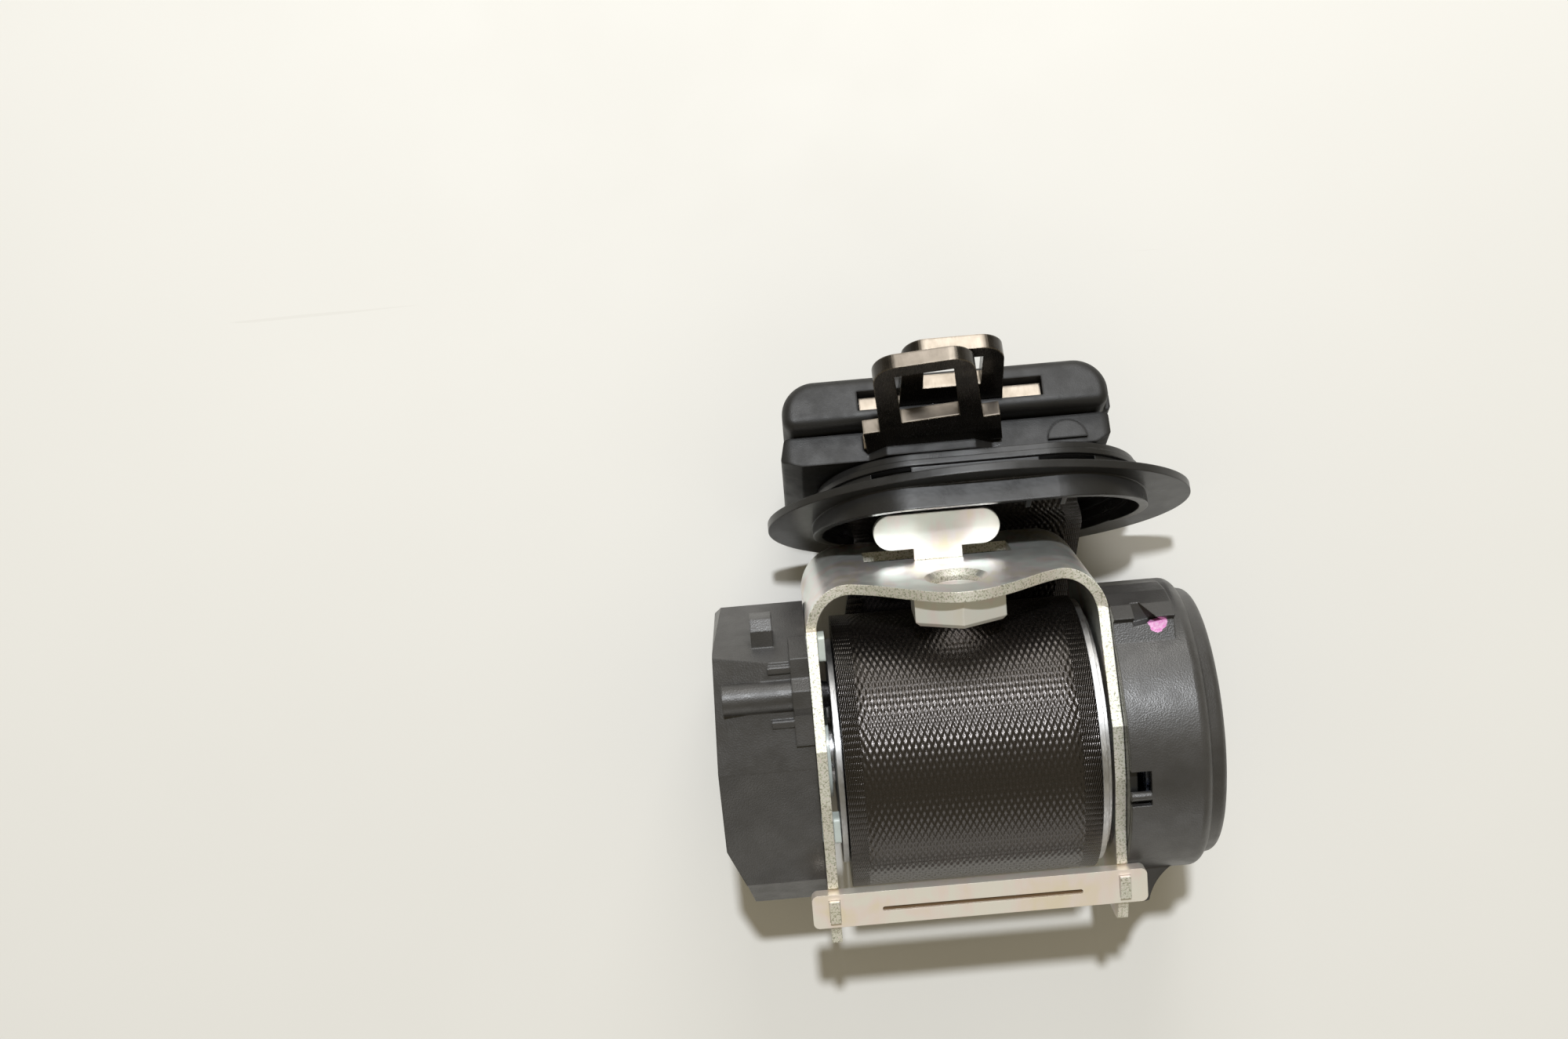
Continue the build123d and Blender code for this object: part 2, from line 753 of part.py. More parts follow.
with BuildPart() as clock_spring:
    first = arbor_radius + 1.2
    halves = 2 * int((drum_radius - cover_wall - 0.6 - first) / spring_pitch)
    last = first + spring_pitch * halves / 2
    with BuildSketch(side(spring_in)):
        with BuildLine():
            coil_line(first, spring_pitch, halves, 0)
            coil_line(first, spring_pitch, halves, spring_strip)
            Line((first, 0), (first + spring_strip, 0))
            Line((last, 0), (last + spring_strip, 0))
        make_face()
    extrude(amount=spring_height)
clock_spring.part.label = "clock_spring"
export_step(clock_spring.part, "parts/clock_spring.step")

# Right cover: a round drum over the clock spring with a stepped rim, a block at the back,
# a window for a clip and a wing towards the tie bar
rim_start = spring_reach - rim_depth
rim_radius = drum_radius - rim_step
with BuildPart() as spring_cover:
    with BuildSketch(deck(0)):
        with BuildLine():
            Polyline((right_in, 0), (right_in, drum_radius), (rim_start - 2.2, drum_radius))
            RadiusArc((rim_start - 2.2, drum_radius), (rim_start, rim_radius), 2.4)
            Line((rim_start, rim_radius), (spring_reach - 1.6, rim_radius - 0.3))
            RadiusArc(
                (spring_reach - 1.6, rim_radius - 0.3), (spring_reach, rim_radius - 2.0), 1.8
            )
            Polyline((spring_reach, rim_radius - 2.0), (spring_reach, 0), (right_in, 0))
        make_face()
    revolve(axis=Axis(axis_point, (1, 0, 0)))
    # Block at the back with a flat in front of its step
    with BuildSketch(side(right_in)):
        with BuildLine():
            Polyline(
                (drum_radius - 8.2, 12.0), (drum_radius - 6.6, 17.9), (drum_radius - 2.7, 16.6),
                (drum_radius - 1.7, 18.0), (drum_radius + 0.1, 14.6), (drum_radius + 1.1, 9.5),
                (drum_radius + 1.0, 3.0), (drum_radius - 0.6, -6.0), (drum_radius - 8.2, -8.0),
                close=True,
            )
        make_face()
    extrude(amount=block_width)
    with BuildSketch(deck(14.0)):
        with Locations((right_in + 6.4, drum_radius - 1.0)):
            Polygon((-2.6, -2.6), (2.8, -1.8), (-2.6, 2.4), align=None)
    extrude(amount=5.0, mode=Mode.SUBTRACT)
    # Wing from the front of the drum to the end of the tie bar
    wing_n = 4.3 - drum_radius
    with BuildSketch(deck(12.4)):
        with BuildLine():
            Polyline(
                (right_in + wing_width, wing_n), (right_in, wing_n), (right_in, wing_n - 5.7),
                (right_in + 4.0, wing_n - 7.5), (right_in + 4.8, wing_n - 7.3),
            )
            RadiusArc((right_in + 4.8, wing_n - 7.3), (right_in + wing_width, wing_n), 11.0)
        make_face()
    extrude(amount=wing_sheet)
    with BuildSketch(side(right_in)):
        Circle(drum_radius - cover_wall)
    extrude(amount=rim_start - rim_shoulder - right_in, mode=Mode.SUBTRACT)
    with BuildSketch(side(right_in)):
        Circle(rim_radius - cover_wall)
    extrude(amount=spring_reach - cover_wall - right_in, mode=Mode.SUBTRACT)
    # Window for the clip, and the rounded bar across it
    with BuildSketch(side(right_in)):
        with Locations((-3.2, drum_radius)):
            Rectangle(7.0, 2 * cover_wall + 1.6)
    extrude(amount=clip_window, mode=Mode.SUBTRACT)
    with BuildSketch(side(right_in)):
        with Locations((-4.9, drum_radius - cover_wall + 0.3)):
            Circle(0.9)
    extrude(amount=clip_window + 0.6)
spring_cover.part.label = "spring_cover"
export_step(spring_cover.part, "parts/spring_cover.step")


def bezel_side(x):
    """Plane across the bezel at x; its own axes are forwards and up; faces -X."""
    return Plane(
        origin=bezel_point + Vector(x, 0, 0), x_dir=front_of_bezel, z_dir=(-1, 0, 0)
    )


# Bezel: oval flange, slanted collar towards the retractor, neck with a snap ring behind
mouth_length = collar_length - 2 * collar_wall
mouth_height = collar_height - 2 * collar_wall
throat_length = neck_length - 2 * collar_wall
throat_height = neck_height - 2 * collar_wall
with BuildPart() as bezel:
    with BuildSketch(trim(-flange_sheet)):
        Ellipse(flange_length / 2, flange_height / 2)
    extrude(amount=flange_sheet)
    with BuildSketch(trim(0)):
        SlotOverall(collar_length, collar_height)
    extrude(amount=collar_top_reach)
    with BuildSketch(bezel_side(flange_length)):
        with BuildLine():
            Polyline(
                (0.0, -flange_height), (0.0, -11.5), (collar_low_reach, -11.0),
                (collar_top_reach, collar_height / 2), (collar_top_reach + 5, collar_height),
                (collar_top_reach + 9, -flange_height), close=True,
            )
        make_face()
    extrude(amount=2 * flange_length, mode=Mode.SUBTRACT)
    with BuildSketch(trim(-flange_sheet)):
        SlotOverall(neck_length, neck_height)
    extrude(amount=-neck_depth)
    with BuildSketch(trim(-flange_sheet - 2.4)):
        SlotOverall(neck_length + 2 * snap_proud, neck_height + 2 * snap_proud)
    extrude(amount=-1.2)
    with BuildSketch(trim(-flange_sheet)):
        SlotOverall(mouth_length, mouth_height)
    extrude(amount=flange_sheet + collar_top_reach, mode=Mode.SUBTRACT)
    with BuildSketch(trim(-flange_sheet)):
        SlotOverall(throat_length, throat_height)
    extrude(amount=-neck_depth, mode=Mode.SUBTRACT)
    # Two slots in the top of the neck, right behind the flange
    for slot_place, length in ((-17.7, 7.6), (16.0, 10.9)):
        with BuildSketch(level(neck_height)):
            with Locations((slot_place, flange_sheet + 1.4)):
                Rectangle(length, 1.7)
        extrude(amount=-neck_height, mode=Mode.SUBTRACT)
    # Two short ribs under the upper wall of the mouth
    for rib_place in (7.8, 14.5):
        with BuildSketch(trim(liner_reach + seat_gap)):
            with Locations((rib_place, mouth_height / 2 + collar_wall / 2)):
                Rectangle(1.0, 3.2 + collar_wall / 2, align=(Align.CENTER, Align.MAX))
        extrude(amount=collar_top_reach - liner_reach - 2 * seat_gap)
bezel.part.label = "bezel"
export_step(bezel.part, "parts/bezel.step")

# Liner in the throat, with the smooth slot that guides the webbing
slot_up = (slot_z - bezel_point.Z) * cb
liner_back = -flange_sheet - neck_depth + 0.2
with BuildPart() as bezel_liner:
    with BuildSketch(trim(liner_back)):
        SlotOverall(throat_length - 2 * seat_gap, throat_height - 2 * seat_gap)
    extrude(amount=-liner_back + liner_reach)
    with BuildSketch(trim(liner_back + liner_wall)):
        SlotOverall(
            throat_length - 2 * seat_gap - 2 * liner_wall,
            throat_height - 2 * seat_gap - 2 * liner_wall,
        )
    extrude(amount=-liner_back + 5, mode=Mode.SUBTRACT)
    with BuildSketch(bezel_side(flange_length)):
        with BuildLine():
            Polyline(
                (-3.2, -flange_height), (-3.2, -5.0), (-1.0, 1.0),
                (liner_reach, throat_height / 2), (9, throat_height), (9, -flange_height),
                close=True,
            )
        make_face()
    extrude(amount=2 * flange_length, mode=Mode.SUBTRACT)
    with BuildSketch(trim(liner_back)):
        with Locations((slot_x - bezel_x, slot_up + 2.2)):
            RectangleRounded(slot_length, slot_height, 1.5)
    extrude(amount=liner_wall, mode=Mode.SUBTRACT)
bezel_liner.part.label = "bezel_liner"
export_step(bezel_liner.part, "parts/bezel_liner.step")

# Tongues: each a plated steel plate in a moulded body, one behind the other
front_start = flange_sheet + neck_depth + grip_gap
rear_start = front_start + front_grip_depth + grip_gap
rear_end = rear_start + rear_grip_depth


def tongue_plane(back, up, x, extra_lean, tilt):
    """Plane of a tongue's front face; its own axes are across and along the tongue."""
    total = radians(bezel_lean + extra_lean)
    normal = Vector(0, -cos(total), sin(total))
    along = Vector(0, sin(total), cos(total))
    across = Vector(1, 0, 0) * cos(radians(tilt)) + along * sin(radians(tilt))
    base = bezel_point + up_bezel * up - front_of_bezel * back
    base = base + Vector(x - bezel_x, 0, 0)
    return Plane(origin=base, x_dir=across, z_dir=normal)


def web_height(back):
    """Height of the level webbing in the bezel's own up direction, at this depth."""
    return (slot_z - bezel_point.Z + back * sb) / cb


def steel_tongue(
    blade_place, length, window, shoulder, shoulder_up, root_width, back, top, blade_x
):
    """Plate of one tongue: blade with its window on a bent neck, root with the slot."""
    r, t = blade_root_width / 2, blade_tip_width / 2
    neck = blade_x - grip_x
    root_drop = top - grip_low - 5.0
    with BuildPart() as plate:
        with BuildSketch(blade_place):
            with BuildLine():
                FilletPolyline(
                    (r, -1), (t, length), (-t, length), (-r, -1), radius=blade_corner
                )
                Line((-r, -1), (r, -1))
            make_face()
            with Locations((0, shoulder_up)):
                Rectangle(shoulder, shoulder_up + 4.0, align=(Align.CENTER, Align.MAX))
            with Locations((0, window_up)):
                Rectangle(
                    window_width, window, align=(Align.CENTER, Align.MIN),
                    mode=Mode.SUBTRACT,
                )
        extrude(amount=-tongue_sheet)
        with BuildSketch(tongue_plane(back, top, grip_x, 0, 0)):
            with BuildLine():
                Polyline(
                    (neck - root_width / 2, -3.0), (neck - root_width / 2, -11),
                    (-root_half, -15), (-root_half, -root_drop), (root_half, -root_drop),
                    (root_half, -15), (neck + root_width / 2, -11),
                    (neck + root_width / 2, -3.0), close=True,
                )
            make_face()
            with Locations((slot_x - grip_x, web_height(back + tongue_sheet / 2) - top)):
                RectangleRounded(slot_length, slot_height - 0.4, 1.5, mode=Mode.SUBTRACT)
        extrude(amount=-tongue_sheet)
    return plate


front_back, front_top = front_start + 2.2, 21.1
rear_back, rear_top = rear_start + 2.5, 20.7
root_half = grip_length / 2 - 3.2
front_tongue = steel_tongue(
    tongue_plane(front_back, front_top, front_blade_x, front_blade_lean, front_tilt),
    front_blade_length, front_window_length, front_shoulder_width, front_shoulder_up,
    front_root_width, front_back, front_top, front_blade_x,
)
front_tongue.part.label = "front_tongue"
export_step(front_tongue.part, "parts/front_tongue.step")

rear_tongue = steel_tongue(
    tongue_plane(rear_back, rear_top, rear_blade_x, rear_blade_lean, 0),
    rear_blade_length, rear_window_length, rear_root_width, 0,
    rear_root_width, rear_back, rear_top, rear_blade_x,
)
rear_tongue.part.label = "rear_tongue"
export_step(rear_tongue.part, "parts/rear_tongue.step")

# Moulded bodies: rounded in plan, with the plates set in them
with BuildPart() as front_grip:
    with BuildSketch(level(grip_low)):
        with BuildLine():
            FilletPolyline(
                (grip_x - bezel_x - grip_length / 2, front_start + front_grip_depth),
                (grip_x - bezel_x - grip_length / 2 - 1.0, front_start + 1.5),
                (grip_x - bezel_x - grip_length / 2 + 3.0, front_start),
                (grip_x - bezel_x + grip_length / 2 - 3.0, front_start),
                (grip_x - bezel_x + grip_length / 2, front_start + 1.5),
                (grip_x - bezel_x + grip_length / 2, front_start + front_grip_depth),
                close=True, radius=0.8,
            )
        make_face()
    extrude(amount=front_grip_top - grip_low)
    with BuildSketch(trim(1 - front_start)):
        with Locations((grip_x - bezel_x, grip_low)):
            Rectangle(
                grip_length + 4, front_grip_top - grip_low, align=(Align.CENTER, Align.MIN)
            )
        fillet(vertices().group_by(Axis.Y)[-1], grip_end_radius)
    extrude(amount=-(front_grip_depth + 2), mode=Mode.INTERSECT)
    # D-shaped pad on the top
    with BuildSketch(level(front_grip_top - 1)):
        with Locations((pad_x - bezel_x, front_start + 1.0)):
            Circle(pad_radius)
            Rectangle(
                2 * pad_radius, pad_radius, align=(Align.CENTER, Align.MIN),
                mode=Mode.INTERSECT,
            )
    extrude(amount=1 + pad_proud)
    # Raised lip in front of the blade
    with BuildSketch(trim(-front_start)):
        with BuildLine():
            Polyline(
                (front_blade_x - bezel_x - 14, front_grip_top - 1),
                (front_blade_x - bezel_x - 9, front_grip_top + 2.2),
                (front_blade_x - bezel_x + 8, front_grip_top + 2.2),
                (front_blade_x - bezel_x + 13, front_grip_top - 1),
                close=True,
            )
        make_face()
    extrude(amount=-(front_back - front_start))
    with BuildSketch(trim(-front_start)):
        with Locations((slot_x - bezel_x, web_height(front_start + front_grip_depth / 2))):
            RectangleRounded(slot_length, slot_height, 1.5)
    extrude(amount=-front_grip_depth, mode=Mode.SUBTRACT)
    add(front_tongue.part, mode=Mode.SUBTRACT)
front_grip.part.label = "front_grip"
export_step(front_grip.part, "parts/front_grip.step")

with BuildPart() as rear_grip:
    with BuildSketch(level(grip_low)):
        with Locations((grip_x - bezel_x, rear_start + rear_grip_depth / 2)):
            Rectangle(grip_length, rear_grip_depth)
        fillet(vertices().group_by(Axis.Y)[-1], 6.5)
        fillet(vertices().group_by(Axis.Y)[0], grip_edge_radius + 0.4)
    extrude(amount=rear_grip_top - grip_low)
    fillet(faces().sort_by(Axis(bezel_point, up_bezel))[-1].edges(), grip_edge_radius)
    # Ear on the right end
    with BuildSketch(level(-10)):
        with Locations((grip_x - bezel_x + grip_length / 2, rear_start + 2.6)):
            RectangleRounded(2 * ear_proud, 3.4, 0.6)
    extrude(amount=25)
    with BuildSketch(trim(-rear_start)):
        with Locations((slot_x - bezel_x, web_height(rear_start + rear_grip_depth / 2))):
            RectangleRounded(slot_length, slot_height, 1.5)
    extrude(amount=-rear_grip_depth, mode=Mode.SUBTRACT)
    # Pocket in the top that the plate stands in
    with BuildSketch(level(rear_grip_top)):
        with Locations((rear_blade_x - bezel_x, rear_back + pocket_depth / 2)):
            Rectangle(rear_root_width + 0.6, pocket_depth)
    extrude(amount=-5.0, mode=Mode.SUBTRACT)
    add(rear_tongue.part, mode=Mode.SUBTRACT)
rear_grip.part.label = "rear_grip"
export_step(rear_grip.part, "parts/rear_grip.step")

# Webbing from the underside of the roll, under the back plate's lower edge, into the
# bezel and level through both tongues
edge_y = plate_reach * cl + plate_below * sl
edge_z = spool_z - plate_below * cl + plate_reach * sl
under = Vector(0, edge_y - 2.0, edge_z - 3.0)
wrap_radius = roll_radius + web_thickness / 2 + 0.3
run = sqrt(under.Y**2 + (spool_z - under.Z) ** 2)
leave = -acos(wrap_radius / run) - atan2(spool_z - under.Z, under.Y)
web_end_y = bezel_y + (rear_back + 2.2) * cb
route = [
    (0.0, wrap_radius * cos(leave), spool_z + wrap_radius * sin(leave)),
    (slot_x + 1.6, under.Y, under.Z),
    (slot_x + 2.2, edge_y + 1.4, edge_z - 1.2),
    (slot_x + 0.8, edge_y + 4.4, slot_z - 2.2),
    (slot_x, edge_y + 7.0, slot_z),
    (slot_x, web_end_y, slot_z),
]
spots = [Vector(spool_x + x, spool_y + y, z) for x, y, z in route]
with BuildPart() as webbing_span:
    for i, spot in enumerate(spots):
        before = spots[max(i - 1, 0)]
        after = spots[min(i + 1, len(spots) - 1)]
        way = after - before
        way = Vector(0, way.Y, way.Z)
        with BuildSketch(Plane(origin=spot, x_dir=(1, 0, 0), z_dir=way)):
            Rectangle(web_width, web_thickness)
    loft(ruled=True)
webbing_span.part.label = "webbing_span"
export_step(webbing_span.part, "parts/webbing_span.step")

# Folded and sewn end of the webbing, behind the rear tongue
with BuildPart() as webbing_end:
    start_y = spool_y + web_end_y + 0.3
    back_y = spool_y + bezel_y + rear_end * cb + web_height(rear_end) * sb
    back_y = back_y + 1.5 * web_thickness * sb / cb + 0.3
    with BuildSketch(
        Plane(origin=(spool_x + slot_x, start_y, slot_z), x_dir=(1, 0, 0), z_dir=(0, 1, 0))
    ):
        Rectangle(web_width, web_thickness)
    extrude(amount=back_y - start_y)
    with BuildSketch(
        Plane(origin=(spool_x + slot_x, back_y, slot_z), x_dir=(1, 0, 0), z_dir=(0, 1, 0))
    ):
        RectangleRounded(web_width, 3 * web_thickness, 0.9)
    extrude(amount=4.5)
webbing_end.part.label = "webbing_end"
export_step(webbing_end.part, "parts/webbing_end.step")
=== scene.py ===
"""Looks of a seat belt: locking retractor, oval bezel and two latch tongues."""

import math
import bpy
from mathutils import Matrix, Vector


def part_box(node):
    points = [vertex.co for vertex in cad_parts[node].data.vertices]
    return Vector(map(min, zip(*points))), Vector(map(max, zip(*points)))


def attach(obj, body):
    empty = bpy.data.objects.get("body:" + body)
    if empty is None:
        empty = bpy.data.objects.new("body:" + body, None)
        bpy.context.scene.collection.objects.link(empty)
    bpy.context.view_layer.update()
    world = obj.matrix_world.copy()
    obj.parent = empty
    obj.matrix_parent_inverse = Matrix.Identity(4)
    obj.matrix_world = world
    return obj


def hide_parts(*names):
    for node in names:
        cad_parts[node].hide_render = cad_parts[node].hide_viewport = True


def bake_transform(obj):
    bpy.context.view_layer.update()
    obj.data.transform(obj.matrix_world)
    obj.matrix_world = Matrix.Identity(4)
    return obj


bl_info = {
    "name": "Seat belt",
    "version": (1, 0, 0),
    "blender": (4, 5, 0),
    "location": "3D View > Sidebar > Seat Belt",
    "description": "Webbing, finishes, floor and light of a seat belt retractor",
    "category": "Add Mesh",
}

import bmesh
import bpy
from bpy.props import FloatProperty, FloatVectorProperty, PointerProperty
from mathutils import Vector

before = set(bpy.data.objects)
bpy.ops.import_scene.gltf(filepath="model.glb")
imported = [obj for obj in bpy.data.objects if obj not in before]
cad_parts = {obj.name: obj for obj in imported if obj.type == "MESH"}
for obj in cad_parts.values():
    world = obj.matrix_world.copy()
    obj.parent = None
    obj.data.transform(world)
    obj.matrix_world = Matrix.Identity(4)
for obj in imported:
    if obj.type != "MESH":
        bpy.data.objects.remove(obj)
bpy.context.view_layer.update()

MM = 0.001

# Places that come from the frame
ROLL_LOW, ROLL_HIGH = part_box("webbing_roll")
SPOOL = (ROLL_LOW + ROLL_HIGH) / 2
ROLL_RADIUS = (ROLL_HIGH.z - ROLL_LOW.z) / 2
LEAN = math.radians(12.0)
OUTWARD = Vector((0.0, math.cos(LEAN), math.sin(LEAN)))
UPWARD = Vector((0.0, -math.sin(LEAN), math.cos(LEAN)))
# Middle of the dab of paint on the block of the spring cover
PAINT_DOT = SPOOL + Vector((36.9 * MM, 20.9 * MM, 21.4 * MM))
# Distance from the spool to the back of the plate, past which the lug stands
LUG_START = SPOOL.dot(OUTWARD) + 36.2 * MM
# Width of the plain woven border of the webbing, in millimetres
SELVEDGE = 3.4

# Winding of the roll
STEPS_PER_TURN = 90
TUCK_STEPS = 5
TUCK_DEPTH = 0.9
ROLL_END = math.radians(-100.0)
WOUND_SHARE = 0.93
FREE_SHARE = 0.9

# Places along the webbing, from the roll to the rear grip
LINER_TO_CUT = 4.6 * MM
CUT_TO_CUT = 10.4 * MM
TRIM_FROM = 22.0 * MM
TRIM_UNTIL = 28.0 * MM
FRONT_FROM = 34.0 * MM
REAR_FROM = 39.0 * MM

finishes = {}


# Materials
class Finish:
    """A material, and the nodes that give it its grain, colour and bumps."""

    def __init__(self, name, **fixed):
        self.material = bpy.data.materials.new(name)
        self.material.use_nodes = True
        self.tree = self.material.node_tree
        self.shader = self.tree.nodes["Principled BSDF"]
        for key, value in fixed.items():
            socket = self.shader.inputs[key.replace("_", " ").title().replace("Ior", "IOR")]
            socket.default_value = (*value, 1.0) if isinstance(value, tuple) else value

    def node(self, kind, values=(), **settings):
        """A node of that kind; values is a list of (input, value or output)."""
        node = self.tree.nodes.new("ShaderNode" + kind)
        for key, value in settings.items():
            setattr(node, key, value)
        for key, value in values:
            self.feed(node.inputs[key], value)
        return node

    def feed(self, socket, value):
        """Link an output to the socket, or set the socket's own value."""
        if isinstance(value, bpy.types.NodeSocket):
            self.tree.links.new(value, socket)
        else:
            socket.default_value = value

    def set(self, key, value):
        self.feed(self.shader.inputs[key], value)

    def place(self, scale=(1.0, 1.0, 1.0), turn=(0.0, 0.0, 0.0), of="Object"):
        """Coordinates in millimetres, stretched and turned."""
        start = self.node("TexCoord").outputs[of]
        size = tuple(s / MM for s in scale) if of == "Object" else scale
        return self.node(
            "Mapping", [("Vector", start), ("Rotation", turn), ("Scale", size)]
        ).outputs["Vector"]

    def noise(self, where, scale, detail=3.0, roughness=0.55, distortion=0.0):
        return self.node(
            "TexNoise",
            [
                ("Vector", where),
                ("Scale", scale),
                ("Detail", detail),
                ("Roughness", roughness),
                ("Distortion", distortion),
            ],
        ).outputs["Fac"]

    def cells(self, where, scale):
        """Distance to the nearest of many scattered points."""
        return self.node("TexVoronoi", [("Vector", where), ("Scale", scale)]).outputs["Distance"]

    def sum(self, operation, a, b=0.0, c=0.0):
        return self.node("Math", [(0, a), (1, b), (2, c)], operation=operation).outputs[0]

    def compare(self, vector, other, operation="DOT_PRODUCT"):
        """One number from two vectors: their dot product, or their distance."""
        node = self.node("VectorMath", [(0, vector), (1, other)], operation=operation)
        return node.outputs["Value"]

    def facing(self, direction):
        """1 on faces that look along the direction, 0 on those beside it and -1 on those behind."""
        return self.compare(self.node("NewGeometry").outputs["True Normal"], direction)

    def along(self, direction):
        """Distance along the direction, in metres."""
        return self.compare(self.node("TexCoord").outputs["Object"], direction)

    def fade(self, value, low, high, start=0.0, end=1.0):
        """Value mapped smoothly from low..high to start..end."""
        return self.node(
            "MapRange",
            [
                ("Value", value),
                ("From Min", low),
                ("From Max", high),
                ("To Min", start),
                ("To Max", end),
            ],
            interpolation_type="SMOOTHSTEP",
        ).outputs["Result"]

    def ramp(self, value, *stops):
        """Colour ramp; each stop is (place, colour)."""
        node = self.node("ValToRGB", [("Fac", value)])
        bar = node.color_ramp.elements
        while len(bar) < len(stops):
            bar.new(0.5)
        for element, (place, colour) in zip(bar, stops):
            element.position = place
            element.color = (*colour, 1.0)
        return node.outputs["Color"]

    def mix(self, share, a, b):
        """Colour a where share is 0, and b where it is 1."""
        node = self.node("Mix", data_type="RGBA")
        self.feed(node.inputs[0], share)
        for socket, value in ((node.inputs[6], a), (node.inputs[7], b)):
            self.feed(socket, (*value, 1.0) if isinstance(value, tuple) else value)
        return node.outputs[2]

    def rounded(self, radius):
        """Normal with the edges rounded to that radius, in metres."""
        return self.node("Bevel", [("Radius", radius)], samples=4).outputs["Normal"]

    def edges(self, radius, low=0.02, high=0.3):
        """1 on the edges of the piece and 0 on its faces."""
        flat = self.node("NewGeometry").outputs["True Normal"]
        return self.fade(self.sum("SUBTRACT", 1.0, self.compare(self.rounded(radius), flat)), low, high)

    def bump(self, height, distance, strength=1.0, normal=None):
        """Normal raised by the height, which stands for that distance in metres."""
        node = self.node(
            "Bump", [("Height", height), ("Distance", distance), ("Strength", strength)]
        )
        if normal is not None:
            self.feed(node.inputs["Normal"], normal)
        return node.outputs["Normal"]


def lighter(colour, times):
    """The colour that many times as light, at most white."""
    return tuple(min(1.0, c * times) for c in colour)


def plated_steel(name, warm, metal=0.82, soft=0.0003, cut_edges=0.0, groove_under=None):
    """Zinc plate with a thin yellow and pink passivation.

    cut_edges is the share of grainy sheared metal on the cut edges of the sheet, and faces
    turned upwards that lie lower than groove_under are the floor of a groove and get a dark painted shade.
    """
    f = Finish(name, metallic=metal, ior=1.6)
    here = f.place()
    cloud = f.noise(here, 0.09, 3.0, 0.5, 0.4)
    streak = f.noise(f.place((0.3, 0.06, 0.06)), 0.9, 3.0, 0.5)
    tint = f.ramp(
        f.sum("MULTIPLY_ADD", streak, 0.35, f.sum("MULTIPLY", cloud, 0.75)),
        (0.30, (0.86, 0.83, 0.68)),
        (0.42, (0.90, 0.90, 0.86)),
        (0.52, (0.88, 0.92, 0.88)),
        (0.60, (0.92, 0.85, 0.84)),
        (0.70, (0.88, 0.82, 0.66)),
    )
    colour = f.mix(warm, tint, (0.90, 0.74, 0.56))
    worn = f.edges(0.00035)
    facing = f.facing(UPWARD)
    if groove_under is not None:
        # Painted shade: upward faces below groove_under, the floor of the groove, are coloured dark brown
        low = f.fade(f.along(UPWARD), groove_under - 0.3 * MM, groove_under - 0.15 * MM, 1.0, 0.0)
        painted_groove_shade = f.sum("MULTIPLY", low, f.fade(facing, 0.8, 0.9))
        colour = f.mix(painted_groove_shade, colour, (0.16, 0.10, 0.05))
    inside = f.fade(f.along(OUTWARD), LUG_START, LUG_START + 0.2 * MM, 1.0, 0.0)
    cut_face = f.sum("MULTIPLY", f.fade(f.sum("ABSOLUTE", facing), 0.3, 0.5), inside)
    spark = f.noise(here, 2.6, 4.0, 0.7)
    sheared = f.ramp(
        spark,
        (0.36, (0.22, 0.21, 0.14)),
        (0.45, (0.66, 0.65, 0.50)),
        (0.54, (0.90, 0.90, 0.82)),
        (0.66, (0.84, 0.70, 0.67)),
    )
    share = f.sum("MAXIMUM", f.sum("MULTIPLY", worn, 0.3), f.sum("MULTIPLY", cut_face, cut_edges))
    f.set("Base Color", f.mix(share, colour, sheared))
    fine = f.noise(f.place((0.5, 3.0, 3.0)), 2.6, 3.0, 0.7)
    patch = f.noise(here, 0.35, 2.0, 0.5)
    dull = f.sum("MULTIPLY_ADD", fine, 0.5, f.sum("MULTIPLY", patch, 0.5))
    rough = f.fade(dull, 0.3, 0.7, 0.3, 0.46)
    f.set("Roughness", f.sum("MAXIMUM", rough, f.sum("MULTIPLY", cut_face, 0.62)))
    height = f.sum("MULTIPLY_ADD", f.noise(here, 7.0, 2.0), 0.4, fine)
    f.set("Normal", f.bump(height, 0.00001, 0.35, f.rounded(soft)))
    return f.material


def nickel_plate(name):
    """Nickel plate: polished faces with faint lines and rubbed corners; the broad faces are near-black, a
    painted dark reflection, and the ends are pale, a painted reflection of light.
    """
    f = Finish(name, metallic=0.85)
    here = f.place()
    cloud = f.noise(here, 0.3, 3.0)
    # Mask of the ends of the blade, the faces turned along UPWARD
    edge = f.fade(f.sum("ABSOLUTE", f.facing(UPWARD)), 0.7, 0.8)
    # Painted reflections: the broad faces get a near-black painted reflection and the ends a pale beige one
    flat = f.ramp(cloud, (0.3, (0.030, 0.027, 0.024)), (0.7, (0.060, 0.053, 0.046)))
    cut = f.ramp(cloud, (0.3, (0.46, 0.40, 0.33)), (0.7, (0.60, 0.53, 0.45)))
    worn = f.edges(0.0005, 0.05, 0.4)
    face = f.mix(f.sum("MULTIPLY", worn, 0.5), flat, (0.55, 0.46, 0.34))
    f.set("Base Color", f.mix(edge, face, cut))
    lines = f.noise(f.place((6.0, 0.6, 0.6)), 1.2, 3.0, 0.6)
    polish = f.fade(lines, 0.3, 0.75, 0.2, 0.32)
    f.set("Roughness", f.sum("MULTIPLY_ADD", edge, 0.24, polish))
    f.set("Normal", f.bump(lines, 0.00001, 0.35, f.rounded(0.00045)))
    return f.material


def ground_steel(name, colour, low=0.22, high=0.42):
    """Plain machined steel or alloy with lathe lines."""
    f = Finish(name, metallic=1.0)
    here = f.place()
    cloud = f.noise(here, 0.4, 3.0)
    dark = tuple(c * 0.72 for c in colour)
    f.set("Base Color", f.ramp(cloud, (0.3, dark), (0.7, colour)))
    lines = f.noise(f.place((5.0, 0.7, 0.7)), 1.4, 3.0)
    f.set("Roughness", f.fade(lines, 0.3, 0.7, low, high))
    f.set("Normal", f.bump(lines, 0.00002, 0.5, f.rounded(0.0002)))
    return f.material


